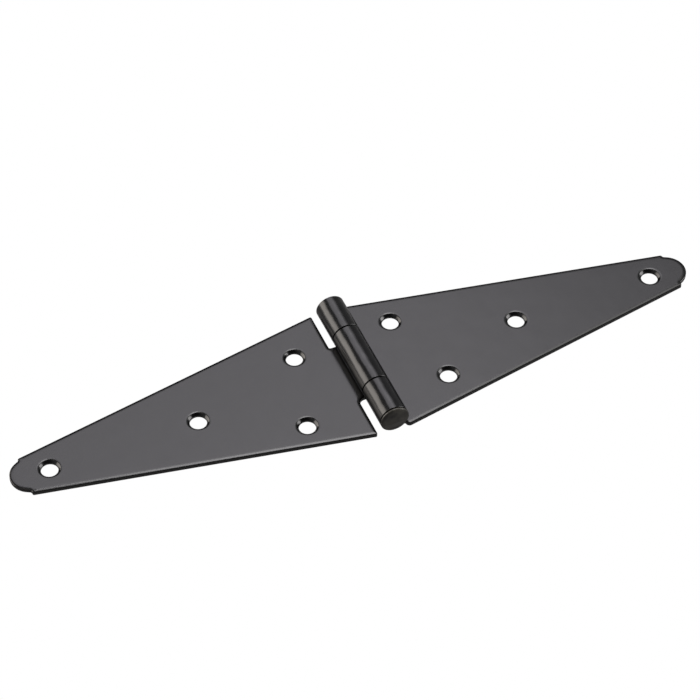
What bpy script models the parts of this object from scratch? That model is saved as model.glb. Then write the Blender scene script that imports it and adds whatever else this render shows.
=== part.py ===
"""Strap hinge: two tapering steel leaves and a headed pin.

Run with: blender --background --python part.py

The hinge lies open and flat with the leaves' backs on z = 0. The pin runs along Y above the origin, the
right leaf points along +X and the left leaf along -X. Sizes below are in millimetres and are turned into
metres by MM.

Each leaf is one sheet. Its flat outline is drawn in "leaf coordinates": u is the distance from the pin's
axis towards the leaf's tip, and v is the place along the pin. The sheet's tabs run under the pin and are
rolled round it as knuckles.
"""
import math

import bmesh
import bpy
from mathutils import Matrix, Vector

MM = 0.001

# Sheet and barrel
SHEET = 1.4                     # thickness of both leaves
BARREL_RADIUS = 4.15            # outside of a rolled knuckle
AXIS_HEIGHT = BARREL_RADIUS     # the knuckles' undersides are flush with the leaves' backs
ROLL_ANGLE = 302.0              # how far a tab is rolled round the pin, in degrees
ROLL_STEPS = 44

# Strap outline
STRAP_LENGTH = 96.8             # base edge to tip
BASE_HALF_WIDTH = 23.55
SHOULDER_HALF_WIDTH = 6.35      # where the taper stops, beside the rounded tip
TIP_RADIUS = 5.5
TIP_SIDEWAYS = 0.15             # the round tip sits this far off the strap's middle, towards +Y
SHOULDER_TO_TIP = 4.1           # shoulder line to the end of the tip
SHOULDER_ROUND = 0.4
LEFT_CORNER = (0.0, 0.45)       # the wide end's outer corners: (step in from the base edge, rounding)
RIGHT_CORNER = (0.65, 1.15)
NOTCH_ROUND = 0.5               # inside corners beside the tabs
LEFT_NEAR_ROUND = 1.8           # but wider on the left tab's side towards the pin's head
NECK_STEP = 0.9                 # an outer tab meets the strap's corner this far in from the base edge
NECK_ROUND = 0.25

# Distance from the pin's axis to the base edge: the tabs were not rolled to quite one length
LEFT_BASE = 5.3
RIGHT_BASE = 4.4

# Knuckles along the pin, from the end with the pin's head (-Y) to the riveted end (+Y)
BARREL_NEAR = -22.1
BARREL_FAR = 22.5
JOINT_NEAR = -10.15             # middle of the gap between two knuckles
JOINT_FAR = 10.5
JOINT_GAP = 0.3

# Screw holes: (distance from the base edge, place along the pin)
LEFT_HOLES = ((10.3, 10.9), (16.5, -13.4), (43.2, -0.2), (85.9, -0.2))
RIGHT_HOLES = ((10.1, 13.0), (17.0, -11.4), (43.1, -0.2), (85.6, 0.0))
HOLE_RADIUS = 2.4
SINK_RADIUS = 3.1               # countersink at the front face, 90 degrees included
HOLE_SIDES = 32
CUT_MARGIN = 1.0                # how far a cutter stands out of the sheet

# Pin
PIN_RADIUS = 2.55
HEAD_RADIUS = BARREL_RADIUS     # flush with the knuckles all round
HEAD_FACE_RADIUS = 3.2
HEAD_RIM = 0.35                 # straight edge of the head before it rounds over
HEAD_HEIGHT = 1.05
RIVET_RADIUS = 3.3
RIVET_HEIGHT = 0.6
PLAY = 0.3                      # between a knuckle's end and the head or the rivet
PIN_SIDES = 40
ROUND_STEPS = 5                 # steps in each small rounding

SMOOTH_ANGLE = math.radians(35.0)

BLACK_COAT = (0.022, 0.022, 0.024, 1.0)
BLACK_PIN = (0.03, 0.029, 0.027, 1.0)


def clear_scene():
    for item in list(bpy.data.objects):
        bpy.data.objects.remove(item, do_unlink=True)


def coated_metal(name, colour, roughness):
    material = bpy.data.materials.new(name)
    material.use_nodes = True
    shader = material.node_tree.nodes["Principled BSDF"]
    shader.inputs["Base Color"].default_value = colour
    shader.inputs["Roughness"].default_value = roughness
    shader.inputs["Metallic"].default_value = 0.0
    material.diffuse_color = colour
    return material


def add_object(name, bm, material=None):
    mesh = bpy.data.meshes.new(name)
    bm.to_mesh(mesh)
    bm.free()
    mesh.shade_smooth()
    mesh.set_sharp_from_angle(angle=SMOOTH_ANGLE)
    item = bpy.data.objects.new(name, mesh)
    bpy.context.scene.collection.objects.link(item)
    if material:
        mesh.materials.append(material)
    return item


def arc(centre, radius, start, end, steps):
    """Points on an arc, angles in degrees, both ends included."""
    points = []
    for i in range(steps + 1):
        angle = math.radians(start + (end - start) * i / steps)
        points.append((centre[0] + radius * math.cos(angle), centre[1] + radius * math.sin(angle)))
    return points


def rounded(before, corner, after, radius):
    """The corner replaced by an arc that touches both of its sides."""
    corner = Vector(corner)
    side_in = (Vector(before) - corner).normalized()
    side_out = (Vector(after) - corner).normalized()
    half = side_in.angle(side_out) / 2
    reach = radius / math.tan(half)
    centre = corner + (side_in + side_out).normalized() * radius / math.sin(half)
    first = corner + side_in * reach - centre
    turn = first.angle_signed(corner + side_out * reach - centre)
    points = []
    for i in range(ROUND_STEPS + 1):
        angle = -turn * i / ROUND_STEPS
        spoke = Matrix.Rotation(angle, 2) @ first
        points.append(tuple(centre + spoke))
    return points


def base_outline(base, tabs, near_round, corner):
    """Corners of the wide end, from low v to high v, with the tabs reaching under the pin at u = 0."""
    step, corner_round = corner
    corners = [((base - step, -BASE_HALF_WIDTH), corner_round)]
    for low, high in tabs:
        for v, runs_in in ((low, True), (high, False)):
            along_strap_edge = v in (BARREL_NEAR, BARREL_FAR)
            notch_round = near_round if runs_in else NOTCH_ROUND
            at_base = ((base - NECK_STEP, v), NECK_ROUND) if along_strap_edge else ((base, v), notch_round)
            at_pin = ((0.0, v), 0.0)
            corners += [at_base, at_pin] if runs_in else [at_pin, at_base]
    corners.append(((base - step, BASE_HALF_WIDTH), corner_round))
    return corners


def leaf_outline(base, tabs, near_round, corner):
    """The leaf's flat outline in leaf coordinates, as one closed loop of points."""
    tip = base + STRAP_LENGTH
    shoulder = tip - SHOULDER_TO_TIP
    tip_centre = tip - TIP_RADIUS
    step_angle = math.degrees(math.acos((shoulder - tip_centre) / TIP_RADIUS))
    step_half_width = TIP_RADIUS * math.sin(math.radians(step_angle))
    upper_step = (shoulder, TIP_SIDEWAYS + step_half_width)
    corners = base_outline(base, tabs, near_round, corner)
    corners += [((shoulder, SHOULDER_HALF_WIDTH), SHOULDER_ROUND),
                (upper_step, 0.0),
                ((shoulder, TIP_SIDEWAYS - step_half_width), 0.0),
                ((shoulder, -SHOULDER_HALF_WIDTH), SHOULDER_ROUND)]
    points = []
    for i, (place, radius) in enumerate(corners):
        if radius:
            before = corners[i - 1][0]
            after = corners[(i + 1) % len(corners)][0]
            points += rounded(before, place, after, radius)
        else:
            points.append(place)
        if place == upper_step:
            points += arc((tip_centre, TIP_SIDEWAYS), TIP_RADIUS, step_angle, -step_angle, 20)[1:-1]
    return points


def leaf_mesh(side, base, tabs, near_round, corner):
    """The sheet raised to its thickness, with every tab's end face rolled round the pin."""
    bm = bmesh.new()
    outline = leaf_outline(base, tabs, near_round, corner)
    flat = [bm.verts.new((side * u * MM, v * MM, 0.0)) for u, v in outline]
    back = bm.faces.new(flat)
    raised = bmesh.ops.extrude_face_region(bm, geom=[back], use_keep_orig=True)
    top = [item for item in raised["geom"] if isinstance(item, bmesh.types.BMVert)]
    bmesh.ops.translate(bm, verts=top, vec=(0.0, 0.0, SHEET * MM))
    bm.faces.ensure_lookup_table()
    ends = [face for face in bm.faces
            if all(abs(vert.co.x) < 1e-7 for vert in face.verts)]
    for end in ends:
        bmesh.ops.spin(bm, geom=[end], cent=(0.0, 0.0, AXIS_HEIGHT * MM), axis=(0.0, side, 0.0),
                       angle=math.radians(ROLL_ANGLE), steps=ROLL_STEPS, use_duplicate=False)
        bmesh.ops.delete(bm, geom=[end], context="FACES_ONLY")
    bmesh.ops.remove_doubles(bm, verts=bm.verts, dist=1e-7)
    bmesh.ops.recalc_face_normals(bm, faces=bm.faces)
    return bm


def turned(profile, sides):
    """A solid turned about the pin's axis from (radius, place along the pin) pairs, ends on the axis."""
    bm = bmesh.new()
    line = [bm.verts.new((r * MM, y * MM, AXIS_HEIGHT * MM)) for r, y in profile]
    edges = [bm.edges.new(pair) for pair in zip(line, line[1:])]
    bmesh.ops.spin(bm, geom=line + edges, cent=(0.0, 0.0, AXIS_HEIGHT * MM), axis=(0.0, 1.0, 0.0),
                   angle=math.tau, steps=sides, use_merge=True, use_duplicate=False)
    bmesh.ops.remove_doubles(bm, verts=bm.verts, dist=1e-7)
    bmesh.ops.recalc_face_normals(bm, faces=bm.faces)
    return bm


def hole_cutter(name, x, y):
    """A screw hole's drill and countersink in one turned cutter, standing upright at (x, y)."""
    cone_depth = SINK_RADIUS - HOLE_RADIUS
    profile = [(0.0, -CUT_MARGIN), (HOLE_RADIUS, -CUT_MARGIN), (HOLE_RADIUS, SHEET - cone_depth),
               (SINK_RADIUS + CUT_MARGIN, SHEET + CUT_MARGIN), (0.0, SHEET + CUT_MARGIN)]
    bm = bmesh.new()
    line = [bm.verts.new((r * MM, 0.0, z * MM)) for r, z in profile]
    edges = [bm.edges.new(pair) for pair in zip(line, line[1:])]
    bmesh.ops.spin(bm, geom=line + edges, cent=(0.0, 0.0, 0.0), axis=(0.0, 0.0, 1.0),
                   angle=math.tau, steps=HOLE_SIDES, use_merge=True, use_duplicate=False)
    bmesh.ops.remove_doubles(bm, verts=bm.verts, dist=1e-7)
    bmesh.ops.recalc_face_normals(bm, faces=bm.faces)
    cutter = add_object(name, bm)
    cutter.location = (x * MM, y * MM, 0.0)
    cutter.hide_render = True
    cutter.display_type = "WIRE"
    return cutter


def leaf(name, side, base, tabs, near_round, corner, holes, material):
    item = add_object(name, leaf_mesh(side, base, tabs, near_round, corner), material)
    for number, (from_base, y) in enumerate(holes, start=1):
        cutter = hole_cutter(f"{name}_cutter_{number}", side * (base + from_base), y)
        cut = item.modifiers.new(f"screw_hole_{number}", "BOOLEAN")
        cut.operation = "DIFFERENCE"
        cut.object = cutter
    return item


def hinge_pin(material):
    """Shank, near head with its rounded rim, and the small riveted end."""
    head_back = BARREL_NEAR - PLAY
    rivet_back = BARREL_FAR + PLAY
    profile = [(0.0, head_back - HEAD_HEIGHT)]
    round_centre = (HEAD_FACE_RADIUS, head_back - HEAD_RIM)
    for i in range(ROUND_STEPS + 1):
        angle = math.pi / 2 * (1 - i / ROUND_STEPS)
        profile.append((round_centre[0] + (HEAD_RADIUS - HEAD_FACE_RADIUS) * math.cos(angle),
                        round_centre[1] - (HEAD_HEIGHT - HEAD_RIM) * math.sin(angle)))
    profile += [(HEAD_RADIUS, head_back), (PIN_RADIUS, head_back), (PIN_RADIUS, rivet_back),
                (RIVET_RADIUS, rivet_back)]
    for i in range(1, ROUND_STEPS + 1):
        angle = math.pi / 2 * i / ROUND_STEPS
        profile.append((RIVET_RADIUS * math.cos(angle), rivet_back + RIVET_HEIGHT * math.sin(angle)))
    profile[-1] = (0.0, rivet_back + RIVET_HEIGHT)
    return add_object("hinge_pin", turned(profile, PIN_SIDES), material)


def build():
    clear_scene()
    half_gap = JOINT_GAP / 2
    middle = [(JOINT_NEAR + half_gap, JOINT_FAR - half_gap)]
    outer = [(BARREL_NEAR, JOINT_NEAR - half_gap), (JOINT_FAR + half_gap, BARREL_FAR)]
    leaf("right_leaf", 1.0, RIGHT_BASE, outer, NOTCH_ROUND, RIGHT_CORNER, RIGHT_HOLES,
         coated_metal("right_leaf_coat", BLACK_COAT, 0.32))
    leaf("left_leaf", -1.0, LEFT_BASE, middle, LEFT_NEAR_ROUND, LEFT_CORNER, LEFT_HOLES,
         coated_metal("left_leaf_coat", BLACK_COAT, 0.32))
    hinge_pin(coated_metal("pin_coat", BLACK_PIN, 0.4))


build()
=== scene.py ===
"""Looks of the strap hinge: smooth, rounded meshes for its two leaves and its pin, a black satin coat,
soft studio light and the camera. The hinge's lengths are in millimetres and are turned into metres by MM.
Those of the lights, the floor and the camera are in metres."""
import math

import bmesh
import bpy
from mathutils import Matrix, Vector


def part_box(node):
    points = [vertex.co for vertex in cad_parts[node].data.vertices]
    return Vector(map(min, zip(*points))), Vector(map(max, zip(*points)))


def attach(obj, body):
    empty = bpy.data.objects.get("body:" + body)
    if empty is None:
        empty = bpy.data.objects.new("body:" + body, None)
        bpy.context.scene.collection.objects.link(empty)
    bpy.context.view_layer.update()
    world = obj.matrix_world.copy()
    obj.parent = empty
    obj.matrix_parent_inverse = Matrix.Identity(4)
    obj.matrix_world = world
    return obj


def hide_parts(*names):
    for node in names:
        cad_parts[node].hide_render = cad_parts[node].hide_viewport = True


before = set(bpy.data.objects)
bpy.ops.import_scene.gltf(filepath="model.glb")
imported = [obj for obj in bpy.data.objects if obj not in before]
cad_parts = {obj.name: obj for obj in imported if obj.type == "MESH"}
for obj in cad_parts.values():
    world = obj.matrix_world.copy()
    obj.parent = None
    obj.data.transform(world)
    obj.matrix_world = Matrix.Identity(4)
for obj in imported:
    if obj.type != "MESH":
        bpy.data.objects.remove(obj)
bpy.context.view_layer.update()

MM = 0.001

# ---- Sizes, as in the frame ----------------------------------------------------------------------
SHEET = 1.4
STRAP_LENGTH = 96.8             # base edge to tip
BASE_HALF_WIDTH = 23.55
SHOULDER_HALF_WIDTH = 6.35
TIP_RADIUS = 5.5
TIP_SIDEWAYS = 0.15             # the round tip sits this far off the strap's middle, towards +Y
SHOULDER_TO_TIP = 4.1
JOINT_NEAR = -10.15             # middle of the gap between two knuckles
JOINT_FAR = 10.5
JOINT_GAP = 0.3
# Screw holes: (distance from the base edge, place along the pin)
LEFT_HOLES = ((10.3, 10.9), (16.5, -13.4), (43.2, -0.2), (85.9, -0.2))
RIGHT_HOLES = ((10.1, 13.0), (17.0, -11.4), (43.1, -0.2), (85.6, 0.0))
HOLE_RADIUS = 2.4
SINK_RADIUS = 3.1               # countersink at the front face, 90 degrees included
PIN_RADIUS = 2.55
HEAD_RIM = 0.35                 # straight edge of the head before it rounds over
HEAD_HEIGHT = 1.05
RIVET_RADIUS = 3.3
RIVET_HEIGHT = 0.6
PLAY = 0.3                      # between a knuckle's end and the head or the rivet

_, right_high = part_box("right_leaf")
left_low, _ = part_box("left_leaf")
pin_low, pin_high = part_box("hinge_pin")
BARREL_RADIUS = right_high[2] / MM / 2
BARREL_NEAR = pin_low[1] / MM + HEAD_HEIGHT + PLAY
BARREL_FAR = pin_high[1] / MM - RIVET_HEIGHT - PLAY
RIGHT_BASE = right_high[0] / MM - STRAP_LENGTH
LEFT_BASE = -left_low[0] / MM - STRAP_LENGTH

# ---- Rounding of the stamped and coated edges ----------------------------------------------------
# Some of it is softer than in the frame's solids, for the looks
FRONT_ROUND = (1.3, 0.3)        # (inwards, down): the punch side, where the sheet draws in
BACK_ROUND = 0.18
SHOULDER_ROUND = 0.5
STEP_ROUND = 0.9                # where the shoulder steps up to the round tip
STEP_RUN = 2.0                  # straight run past each step, for its rounding to touch
LEFT_CORNER = (0.0, 0.45)       # wide end's outer corners: (step in from the base edge, rounding)
RIGHT_CORNER = (0.65, 1.15)
NOTCH_ROUND = 0.5
LEFT_NEAR_ROUND = 1.8           # inside corner of the left tab towards the pin's head
NECK_STEP = 0.9                 # an outer tab meets the strap's corner this far in from the base edge
NECK_ROUND = 0.25
SINK_ROUND = (0.7, 0.16)        # (inwards, down): the face dips a little round each hole
HOLE_ROUND = 0.12
HEAD_FACE_RADIUS = 2.8          # where the pin head's face begins to round over
HEAD_CROWN = 0.2
RIM_ROUND = 0.08                # back edges of the head and the rivet
LEAST_ROUND = 0.02              # kept of an outer rounding where the edge has moved in past it
ROLL_ANGLE = 302.0              # how far a tab is rolled round the pin, in degrees

# ---- Fineness ------------------------------------------------------------------------------------
ROLL_STEPS = 96
HOLE_SIDES = 64
PIN_SIDES = 96
EDGE_STEPS = 7
CROWN_STEPS = 6
CORNER_STEPS = 8
TIP_STEPS = 40


# ---- Geometry helpers ----------------------------------------------------------------------------
def arc(centre, radius, start, end, steps):
    """Points on an arc, angles in degrees, both ends included."""
    points = []
    for i in range(steps + 1):
        angle = math.radians(start + (end - start) * i / steps)
        points.append(Vector((centre[0] + radius * math.cos(angle), centre[1] + radius * math.sin(angle))))
    return points


def rounded(before, corner, after, radius):
    """The corner replaced by an arc that touches both of its sides."""
    corner = Vector(corner)
    side_in = (Vector(before) - corner).normalized()
    side_out = (Vector(after) - corner).normalized()
    half = side_in.angle(side_out) / 2
    centre = corner + (side_in + side_out).normalized() * radius / math.sin(half)
    first = corner + side_in * radius / math.tan(half) - centre
    last = corner + side_out * radius / math.tan(half) - centre
    turn = first.angle_signed(last)
    return [centre + Matrix.Rotation(-turn * i / CORNER_STEPS, 2) @ first for i in range(CORNER_STEPS + 1)]


def run_through(corners):
    """An open run of points through (place, rounding) corners; its two ends stay where they are."""
    points = [Vector(corners[0][0])]
    for (before, _), (corner, radius), (after, _) in zip(corners, corners[1:], corners[2:]):
        points += rounded(before, corner, after, radius) if radius else [Vector(corner)]
    return points + [Vector(corners[-1][0])]


def drawn_in(corners, distance):
    """An open run's (place, rounding) corners moved by the distance into the material on its left."""
    places = [Vector(place) for place, _ in corners]
    moved = []
    for i, (place, radius) in enumerate(corners):
        sides = [(b - a).normalized() for a, b in zip(places[max(i - 1, 0):i + 1], places[max(i, 1):i + 2])]
        normals = [Vector((-side.y, side.x)) for side in sides]
        middle = sum(normals, Vector((0.0, 0.0))).normalized()
        outward = sides[0].cross(sides[-1]) > 0
        if radius:
            radius = max(radius - distance, LEAST_ROUND) if outward else radius + distance
        moved.append((Vector(place) + middle * distance / middle.dot(normals[0]), radius))
    return moved


def bend(centre, radius, start, end):
    """(distance, height) pairs round an edge; 0 degrees is level with the front face, 90 is upright.
    The radius may be an (inwards, down) pair."""
    inwards, down = radius if isinstance(radius, tuple) else (radius, radius)
    pairs = []
    for i in range(EDGE_STEPS + 1):
        angle = math.radians(start + (end - start) * i / EDGE_STEPS)
        pairs.append((centre[0] - inwards * math.sin(angle), centre[1] + down * math.cos(angle)))
    return pairs


def join_rings(bm, rings, closed):
    """Quads between neighbouring rings of vertices."""
    for ring, following in zip(rings, rings[1:]):
        count = len(ring) if closed else len(ring) - 1
        for i in range(count):
            j = (i + 1) % len(ring)
            bm.faces.new((ring[i], ring[j], following[j], following[i]))


def edges_along(bm, verts, closed=False):
    """The edges between neighbouring vertices."""
    pairs = zip(verts, verts[1:] + verts[:1] if closed else verts[1:])
    return [bm.edges.get(pair) for pair in pairs]


def add_object(name, data):
    item = bpy.data.objects.new(name, data)
    bpy.context.scene.collection.objects.link(item)
    return item


def finished(name, bm):
    """The mesh as an object, smooth all over, its flat faces kept flat by weighted normals."""
    bmesh.ops.recalc_face_normals(bm, faces=bm.faces)
    mesh = bpy.data.meshes.new(name)
    bm.to_mesh(mesh)
    bm.free()
    mesh.shade_smooth()
    item = add_object(name, mesh)
    weighted = item.modifiers.new("flat_faces_stay_flat", "WEIGHTED_NORMAL")
    weighted.weight = 100
    return item


# ---- Leaves --------------------------------------------------------------------------------------
def tab_side(base, v, notch_round):
    """The two corners of a tab's side: under the pin's axis, and where it meets the strap."""
    if v in (BARREL_NEAR, BARREL_FAR):
        return [((0.0, v), 0.0), ((base - NECK_STEP, v), NECK_ROUND)]
    return [((0.0, v), 0.0), ((base, v), notch_round)]


def leaf_runs(base, tabs, rounds, distance):
    """The leaf's outline as (first v, last v, points) runs between its tabs' ends, with the material on the
    left and the points moved into it by the distance. Leaf coordinates: u from the pin's axis towards the
    tip, v along the pin."""
    near_round, (step, corner_round) = rounds
    tip = base + STRAP_LENGTH
    shoulder = tip - SHOULDER_TO_TIP
    centre = Vector((tip - TIP_RADIUS, TIP_SIDEWAYS))
    turn = math.acos((shoulder - centre.x) / TIP_RADIUS)
    across = TIP_RADIUS * math.sin(turn)
    ahead = Vector((STEP_RUN * math.sin(turn), STEP_RUN * math.cos(turn)))
    low_step = Vector((shoulder, TIP_SIDEWAYS - across))
    high_step = Vector((shoulder, TIP_SIDEWAYS + across))
    reach = STEP_ROUND * math.tan(turn / 2) / (TIP_RADIUS - distance)
    sweep = math.degrees(turn - reach)
    lower = tab_side(base, tabs[0][0], near_round) + [
        ((base - step, -BASE_HALF_WIDTH), corner_round),
        ((shoulder, -SHOULDER_HALF_WIDTH), SHOULDER_ROUND),
        (low_step, STEP_ROUND),
        (low_step + ahead, 0.0)]
    upper = [
        (high_step + ahead * Vector((1.0, -1.0)), 0.0),
        (high_step, STEP_ROUND),
        ((shoulder, SHOULDER_HALF_WIDTH), SHOULDER_ROUND),
        ((base - step, BASE_HALF_WIDTH), corner_round)] + tab_side(base, tabs[-1][1], NOTCH_ROUND)[::-1]
    towards_tip = run_through(drawn_in(lower, distance))[:-1]
    round_tip = arc(centre, TIP_RADIUS - distance, -sweep, sweep, TIP_STEPS)[1:-1]
    from_tip = run_through(drawn_in(upper, distance))[1:]
    runs = [(tabs[0][0], tabs[-1][1], towards_tip + round_tip + from_tip)]
    for below, above in zip(tabs, tabs[1:]):
        notch = tab_side(base, above[0], near_round) + tab_side(base, below[1], NOTCH_ROUND)[::-1]
        runs.append((above[0], below[1], run_through(drawn_in(notch, distance))))
    return runs


def edge_levels():
    """(inset, height) down the sheet's edge, from its front face to its back."""
    front = bend((FRONT_ROUND[0], SHEET - FRONT_ROUND[1]), FRONT_ROUND, 0, 90)
    back = bend((BACK_ROUND, BACK_ROUND), BACK_ROUND, 90, 180)
    return front + back


def hole_levels():
    """(radius, height) down a screw hole: rounded rim, countersink, straight land, back rim."""
    reach = math.tan(math.pi / 8)       # of a rounding along its sides, where they meet at 45 degrees
    throat = SHEET - (SINK_RADIUS - HOLE_RADIUS)
    inwards, down = SINK_ROUND
    meet = math.atan(inwards / down)
    dip = down * (1 - math.cos(meet))
    rim_centre = (SINK_RADIUS - dip + inwards * math.sin(meet), SHEET - down)
    rim = bend(rim_centre, SINK_ROUND, 0, math.degrees(meet))
    bottom_of_cone = bend((HOLE_RADIUS + HOLE_ROUND, throat - HOLE_ROUND * reach), HOLE_ROUND, 45, 90)
    back = bend((HOLE_RADIUS + HOLE_ROUND, HOLE_ROUND), HOLE_ROUND, 90, 180)
    return rim + bottom_of_cone + back


def roll_tab(bm, side, loop):
    """Rolls a tab's open end round the pin and closes it with a softly rounded end."""
    axis = Vector((0.0, 0.0, BARREL_RADIUS * MM))
    spokes = [vert.co - axis for vert in loop]
    wide = [spoke.y for spoke in spokes]
    middle = Vector((0.0, (min(wide) + max(wide)) / 2, (SHEET / 2 - BARREL_RADIUS) * MM))
    across = max(wide) - min(wide)

    def ring(angle, inset):
        turn = Matrix.Rotation(side * angle, 3, "Y")
        narrower = 1 - 2 * inset * MM / across
        thinner = 1 - 2 * inset / SHEET
        placed = []
        for spoke in spokes:
            off = spoke - middle
            shrunk = middle + Vector((0.0, off.y * narrower, off.z * thinner))
            placed.append(bm.verts.new(axis + turn @ shrunk))
        return placed

    last = math.radians(ROLL_ANGLE)
    rings = [loop] + [ring(last * i / ROLL_STEPS, 0.0) for i in range(1, ROLL_STEPS + 1)]
    for inset, beyond in bend((BACK_ROUND, 0.0), BACK_ROUND, 90, 0)[1:]:
        rings.append(ring(last + beyond / (BARREL_RADIUS - SHEET / 2), inset))
    join_rings(bm, rings, closed=True)
    bm.faces.new(rings[-1])


def leaf(name, side, base, tabs, rounds, holes):
    """One sheet with its rolled tabs and its screw holes. side is 1 towards +X and -1 towards -X."""
    bm = bmesh.new()

    def vert(u, v, z):
        return bm.verts.new((side * u * MM, v * MM, z * MM))

    front = []
    back = []
    tab_ends = {}
    levels = [(z, leaf_runs(base, tabs, rounds, distance)) for distance, z in edge_levels()]
    for number, (first, last, _) in enumerate(levels[0][1]):
        rings = [[vert(p.x, p.y, z) for p in runs[number][2]] for z, runs in levels]
        join_rings(bm, rings, closed=False)
        front += edges_along(bm, rings[0])
        back += edges_along(bm, rings[-1])
        tab_ends[first] = [ring[0] for ring in rings]
        tab_ends[last] = [ring[-1] for ring in rings]
    for low, high in tabs:
        front.append(bm.edges.new((tab_ends[low][0], tab_ends[high][0])))
        back.append(bm.edges.new((tab_ends[low][-1], tab_ends[high][-1])))
    for from_base, v in holes:
        rings = [[vert(p.x, p.y, z) for p in arc((base + from_base, v), radius, 0, 360, HOLE_SIDES)[:-1]]
                 for radius, z in hole_levels()]
        join_rings(bm, rings, closed=True)
        front += edges_along(bm, rings[0], closed=True)
        back += edges_along(bm, rings[-1], closed=True)
    bmesh.ops.triangle_fill(bm, use_beauty=True, edges=front, normal=(0.0, 0.0, 1.0))
    bmesh.ops.triangle_fill(bm, use_beauty=True, edges=back, normal=(0.0, 0.0, -1.0))
    for low, high in tabs:
        roll_tab(bm, side, tab_ends[low] + tab_ends[high][::-1])
    return finished(name, bm)


# ---- Pin -----------------------------------------------------------------------------------------
def hinge_pin(name):
    """Shank, near head with its rounded rim, and the small riveted end, turned about the pin's axis."""
    head_back = BARREL_NEAR - PLAY
    face = head_back - HEAD_HEIGHT
    rivet_back = BARREL_FAR + PLAY
    profile = [(HEAD_FACE_RADIUS * i / CROWN_STEPS, face + HEAD_CROWN * (i / CROWN_STEPS) ** 2)
               for i in range(1, CROWN_STEPS)]
    rim_reach = BARREL_RADIUS - HEAD_FACE_RADIUS
    rim_depth = HEAD_HEIGHT - HEAD_RIM - HEAD_CROWN
    for i in range(EDGE_STEPS * 2 + 1):
        angle = math.pi / 2 * i / (EDGE_STEPS * 2)
        profile.append((HEAD_FACE_RADIUS + rim_reach * math.sin(angle),
                        face + HEAD_CROWN + rim_depth * (1 - math.cos(angle))))
    profile += [(BARREL_RADIUS, head_back - RIM_ROUND), (BARREL_RADIUS - RIM_ROUND, head_back),
                (PIN_RADIUS, head_back), (PIN_RADIUS, rivet_back), (RIVET_RADIUS - RIM_ROUND, rivet_back),
                (RIVET_RADIUS, rivet_back + RIM_ROUND)]
    for i in range(1, EDGE_STEPS * 2):
        angle = math.pi / 2 * i / (EDGE_STEPS * 2)
        profile.append((RIVET_RADIUS * math.cos(angle),
                        rivet_back + RIM_ROUND + (RIVET_HEIGHT - RIM_ROUND) * math.sin(angle)))
    bm = bmesh.new()
    rings = []
    for radius, y in profile:
        turn = arc((0.0, BARREL_RADIUS), radius, 0, 360, PIN_SIDES)[:-1]
        rings.append([bm.verts.new((p.x * MM, y * MM, p.y * MM)) for p in turn])
    join_rings(bm, rings, closed=True)
    for ring, y in ((rings[0], face), (rings[-1], rivet_back + RIVET_HEIGHT)):
        centre = bm.verts.new((0.0, y * MM, BARREL_RADIUS * MM))
        for i, corner in enumerate(ring):
            bm.faces.new((centre, corner, ring[(i + 1) % len(ring)]))
    return finished(name, bm)


# ---- Coat ----------------------------------------------------------------------------------------
# Each look: darkest colour, lightest colour, roughness
LEAF_COAT = ((0.001, 0.001, 0.0011, 1.0), (0.003, 0.003, 0.0032, 1.0), 0.19)
PIN_COAT = ((0.014, 0.0134, 0.0112, 1.0), (0.054, 0.0515, 0.042, 1.0), 0.33)
COAT_IOR = 1.5
MOTTLING_RANGE = (0.35, 0.65)   # noise levels of the darkest and of the lightest coat
GLOSS_SPREAD = (-0.04, 0.05)    # added to the roughness at the noise's low and high end
DENTED_HEIGHTS = (1.6, 3.2)     # dents fade in between these, so the flat straps have none

# Noise patterns: (per metre, detail)
MOTTLING = (420.0, 4.0)
GLOSS = (160.0, 5.0)
WAVES = (90.0, 2.0)
DENTS = (140.0, 1.5)
SKIN = (2600.0, 2.0)

# How deep the last three press in, in metres
WAVE_DEPTH = 0.00004
DENT_DEPTH = 0.0003
SKIN_DEPTH = 0.000004


def ramp(tree, value, span, levels):
    """The value mapped from its span onto two levels, and held at them beyond its ends."""
    node = tree.nodes.new("ShaderNodeMapRange")
    settings = {"From Min": span[0], "From Max": span[1], "To Min": levels[0], "To Max": levels[1]}
    for socket, level in settings.items():
        node.inputs[socket].default_value = level
    tree.links.new(value, node.inputs["Value"])
    return node.outputs["Result"]


def product(tree, *values):
    node = tree.nodes.new("ShaderNodeMath")
    node.operation = "MULTIPLY"
    for value, socket in zip(values, node.inputs):
        tree.links.new(value, socket)
    return node.outputs["Value"]


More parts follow.
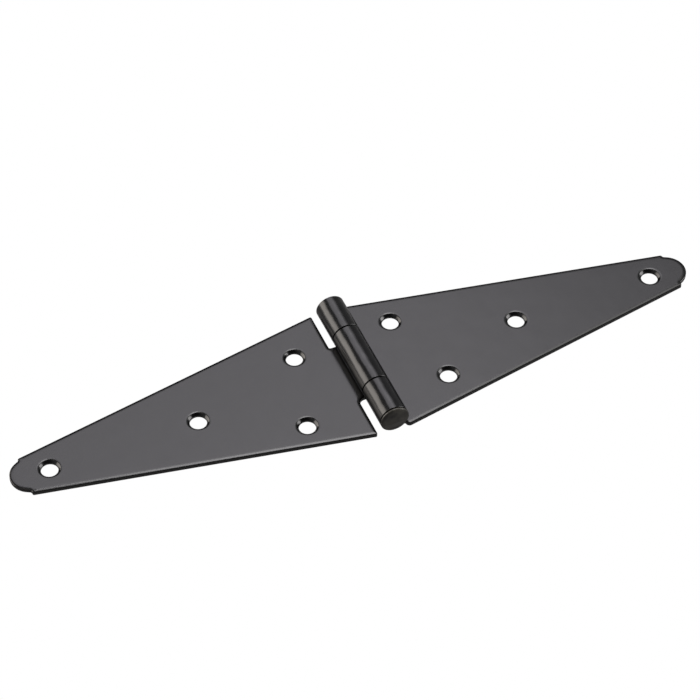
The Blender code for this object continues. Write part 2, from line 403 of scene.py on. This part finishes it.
def coat(name, dark, light, roughness):
    """Satin black coat on steel: mottled, unevenly glossy, with a fine skin over slow waves and dents."""
    material = bpy.data.materials.new(name)
    material.use_nodes = True
    tree = material.node_tree
    nodes = tree.nodes
    links = tree.links
    shader = nodes["Principled BSDF"]
    shader.inputs["IOR"].default_value = COAT_IOR
    place = nodes.new("ShaderNodeTexCoord").outputs["Object"]

    split = nodes.new("ShaderNodeSeparateXYZ")
    links.new(place, split.inputs["Vector"])
    height = split.outputs["Z"]

    def noise(per_metre, detail):
        node = nodes.new("ShaderNodeTexNoise")
        node.inputs["Scale"].default_value = per_metre
        node.inputs["Detail"].default_value = detail
        links.new(place, node.inputs["Vector"])
        return node.outputs["Fac"]

    def bump(pattern, depth, under=None):
        node = nodes.new("ShaderNodeBump")
        node.inputs["Strength"].default_value = 1.0
        node.inputs["Distance"].default_value = depth
        links.new(pattern, node.inputs["Height"])
        if under:
            links.new(under, node.inputs["Normal"])
        return node.outputs["Normal"]

    mottling = nodes.new("ShaderNodeMix")
    mottling.data_type = "RGBA"
    mottling.inputs["A"].default_value = dark
    mottling.inputs["B"].default_value = light
    links.new(ramp(tree, noise(*MOTTLING), MOTTLING_RANGE, (0.0, 1.0)), mottling.inputs["Factor"])
    links.new(mottling.outputs["Result"], shader.inputs["Base Color"])

    gloss_ends = [roughness + change for change in GLOSS_SPREAD]
    links.new(ramp(tree, noise(*GLOSS), (0.0, 1.0), gloss_ends), shader.inputs["Roughness"])

    waves = bump(noise(*WAVES), WAVE_DEPTH)
    rolled_only = ramp(tree, height, [level * MM for level in DENTED_HEIGHTS], (0.0, 1.0))
    dents = bump(product(tree, noise(*DENTS), rolled_only), DENT_DEPTH, waves)
    skin = bump(noise(*SKIN), SKIN_DEPTH, dents)
    links.new(skin, shader.inputs["Normal"])
    return material


# ---- Light, floor and camera ---------------------------------------------------------------------
MIRROR_ACROSS = 0.788           # of the directions that the barrel mirrors: their part across the pin
MIRROR_ALONG = 0.615            # and their part along it
SKY_COLOUR = (0.95, 0.95, 0.97, 1.0)
# The sky's strength is the product of these, each a fade along Y: ((from, to), (strength there, and there))
SKY_FADES = (((0.55, 0.9), (0.32, 0.03)), ((-0.3, -0.65), (1.0, 0.12)))
FLOOR_RADIUS = 4.0              # in metres
FLOOR_GREY = 0.26               # what the coat mirrors


def direction(azimuth, elevation):
    """From the object: azimuth 0 is -Y, the near side, and turns towards +X; angles in degrees."""
    a = math.radians(azimuth)
    e = math.radians(elevation)
    return Vector((math.sin(a) * math.cos(e), -math.cos(a) * math.cos(e), math.sin(e)))


def facing(where, right, up, back):
    """The matrix of an object that looks along -back."""
    return Matrix.Translation(where) @ Matrix((right, up, back)).transposed().to_4x4()


def softbox(name, towards, distance, size, radiance, colour):
    """A rectangular light of even radiance, facing the object. size is (across, along Y)."""
    light = bpy.data.lights.new(name, "AREA")
    light.shape = "RECTANGLE"
    light.size, light.size_y = size
    light.energy = radiance * math.pi * size[0] * size[1]
    light.color = colour
    back = towards.normalized()
    up = (Vector((0.0, 1.0, 0.0)) - back * back.y).normalized()
    add_object(name, light).matrix_world = facing(back * distance, up.cross(back), up, back)


def round_the_pin(tilt):
    """The direction mirrored by the barrel where it shows the light at this tilt towards -X."""
    a = math.radians(tilt)
    return Vector((-MIRROR_ACROSS * math.sin(a), MIRROR_ALONG, MIRROR_ACROSS * math.cos(a)))


def studio():
    """Softboxes and a dim sky. The left panel and spill light the barrel's left side, the top ones the faces
    and the barrel's top, and the rest the edges and rims."""
    # (name, direction, distance, size, radiance, colour)
    panels = (
        ("left_panel", round_the_pin(63.0), 3.0, (1.7, 3.4), 2.9, (1.0, 0.93, 0.86)),
        ("left_spill", round_the_pin(84.0), 3.3, (3.2, 3.6), 1.25, (1.0, 0.94, 0.88)),
        ("top_panel", round_the_pin(-6.0), 3.0, (1.6, 1.22), 0.71, (1.0, 0.97, 1.03)),
        ("top_panel_middle", round_the_pin(-7.7), 3.05, (1.83, 1.22), 0.71, (1.0, 0.97, 1.03)),
        ("top_panel_edge", round_the_pin(-11.5), 3.1, (2.32, 1.3), 0.64, (1.0, 0.97, 1.03)),
        ("near_top_panel", Vector((0.281, 0.54, 0.793)), 3.0, (1.33, 0.48), 0.62, (1.0, 0.97, 1.03)),
        ("overhead_panel", Vector((0.21, 0.24, 0.95)), 3.2, (0.95, 1.35), 7.2, (1.0, 0.98, 1.0)),
        ("overhead_right_panel", Vector((0.45, 0.2, 0.87)), 3.2, (0.66, 1.35), 2.3, (1.0, 0.98, 0.96)),
        ("left_rim_panel", Vector((-0.42, -0.14, 0.9)), 3.2, (0.9, 0.8), 2.0, (1.0, 0.88, 0.76)),
        ("right_panel", Vector((0.9, -0.26, 0.35)), 3.0, (1.7, 1.7), 6.0, (1.0, 0.98, 0.98)),
    )
    for panel in panels:
        softbox(*panel)
    world = bpy.data.worlds.new("studio")
    bpy.context.scene.world = world
    world.use_nodes = True
    tree = world.node_tree
    split = tree.nodes.new("ShaderNodeSeparateXYZ")
    tree.links.new(tree.nodes.new("ShaderNodeTexCoord").outputs["Generated"], split.inputs["Vector"])
    fades = [ramp(tree, split.outputs["Y"], span, levels) for span, levels in SKY_FADES]
    sky = tree.nodes["Background"]
    sky.inputs["Color"].default_value = SKY_COLOUR
    tree.links.new(product(tree, *fades), sky.inputs["Strength"])


def floor():
    """A pale floor that stays evenly white to the camera and is mirrored in the coat as dim grey. It lies low
    enough for the left leaf to hang straight down."""
    drop = (LEFT_BASE + STRAP_LENGTH) * MM
    bpy.ops.mesh.primitive_circle_add(vertices=64, radius=FLOOR_RADIUS, fill_type="NGON",
                                      location=(0.0, 0.0, -drop))
    ground = bpy.context.object
    ground.name = "floor"
    material = bpy.data.materials.new("pale_floor")
    material.use_nodes = True
    nodes = material.node_tree.nodes
    links = material.node_tree.links
    nodes.remove(nodes["Principled BSDF"])
    matt = nodes.new("ShaderNodeBsdfDiffuse")
    matt.inputs["Color"].default_value = (FLOOR_GREY, FLOOR_GREY, FLOOR_GREY, 1.0)
    white = nodes.new("ShaderNodeEmission")
    white.inputs["Strength"].default_value = 1.0
    seen = nodes.new("ShaderNodeMixShader")
    links.new(nodes.new("ShaderNodeLightPath").outputs["Is Camera Ray"], seen.inputs["Fac"])
    links.new(matt.outputs["BSDF"], seen.inputs[1])
    links.new(white.outputs["Emission"], seen.inputs[2])
    links.new(seen.outputs["Shader"], nodes["Material Output"].inputs["Surface"])
    ground.data.materials.append(material)


def camera():
    """A long lens looking down at the hinge from the near left, over the left leaf's side of the pin."""
    azimuth = -23.700
    elevation = 47.995
    roll = 0.527
    distance = 0.73601
    aim = Vector((0.000286, 0.008603, 0.0))
    data = bpy.data.cameras.new("camera")
    data.sensor_width = 36.0
    data.lens = 135.360
    data.clip_start = 0.01
    item = add_object("camera", data)
    back = direction(azimuth, elevation)
    level = Vector((math.cos(math.radians(azimuth)), math.sin(math.radians(azimuth)), 0.0))
    right = Matrix.Rotation(math.radians(roll), 3, back) @ level
    item.matrix_world = facing(aim + back * distance, right, back.cross(right), back)
    bpy.context.scene.camera = item


# ---- The scene -----------------------------------------------------------------------------------
leaf_black = coat("leaf_coat", *LEAF_COAT)
pin_black = coat("pin_coat", *PIN_COAT)

half_gap = JOINT_GAP / 2
middle = [(JOINT_NEAR + half_gap, JOINT_FAR - half_gap)]
outer = [(BARREL_NEAR, JOINT_NEAR - half_gap), (JOINT_FAR + half_gap, BARREL_FAR)]
shapes = (
    (leaf("right_strap", 1.0, RIGHT_BASE, outer, (NOTCH_ROUND, RIGHT_CORNER), RIGHT_HOLES),
     "right_leaf", "right", "leaf_coat", leaf_black),
    (leaf("left_strap", -1.0, LEFT_BASE, middle, (LEFT_NEAR_ROUND, LEFT_CORNER), LEFT_HOLES),
     "left_leaf", "left", "leaf_coat", leaf_black),
    (hinge_pin("headed_pin"), "hinge_pin", "right", "pin_coat", pin_black),
)
for piece, node, body, slot, material in shapes:
    piece.data.materials.append(material)
    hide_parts(node)
    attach(piece, body)

studio()
floor()
camera()
bpy.context.scene.view_settings.view_transform = "Standard"
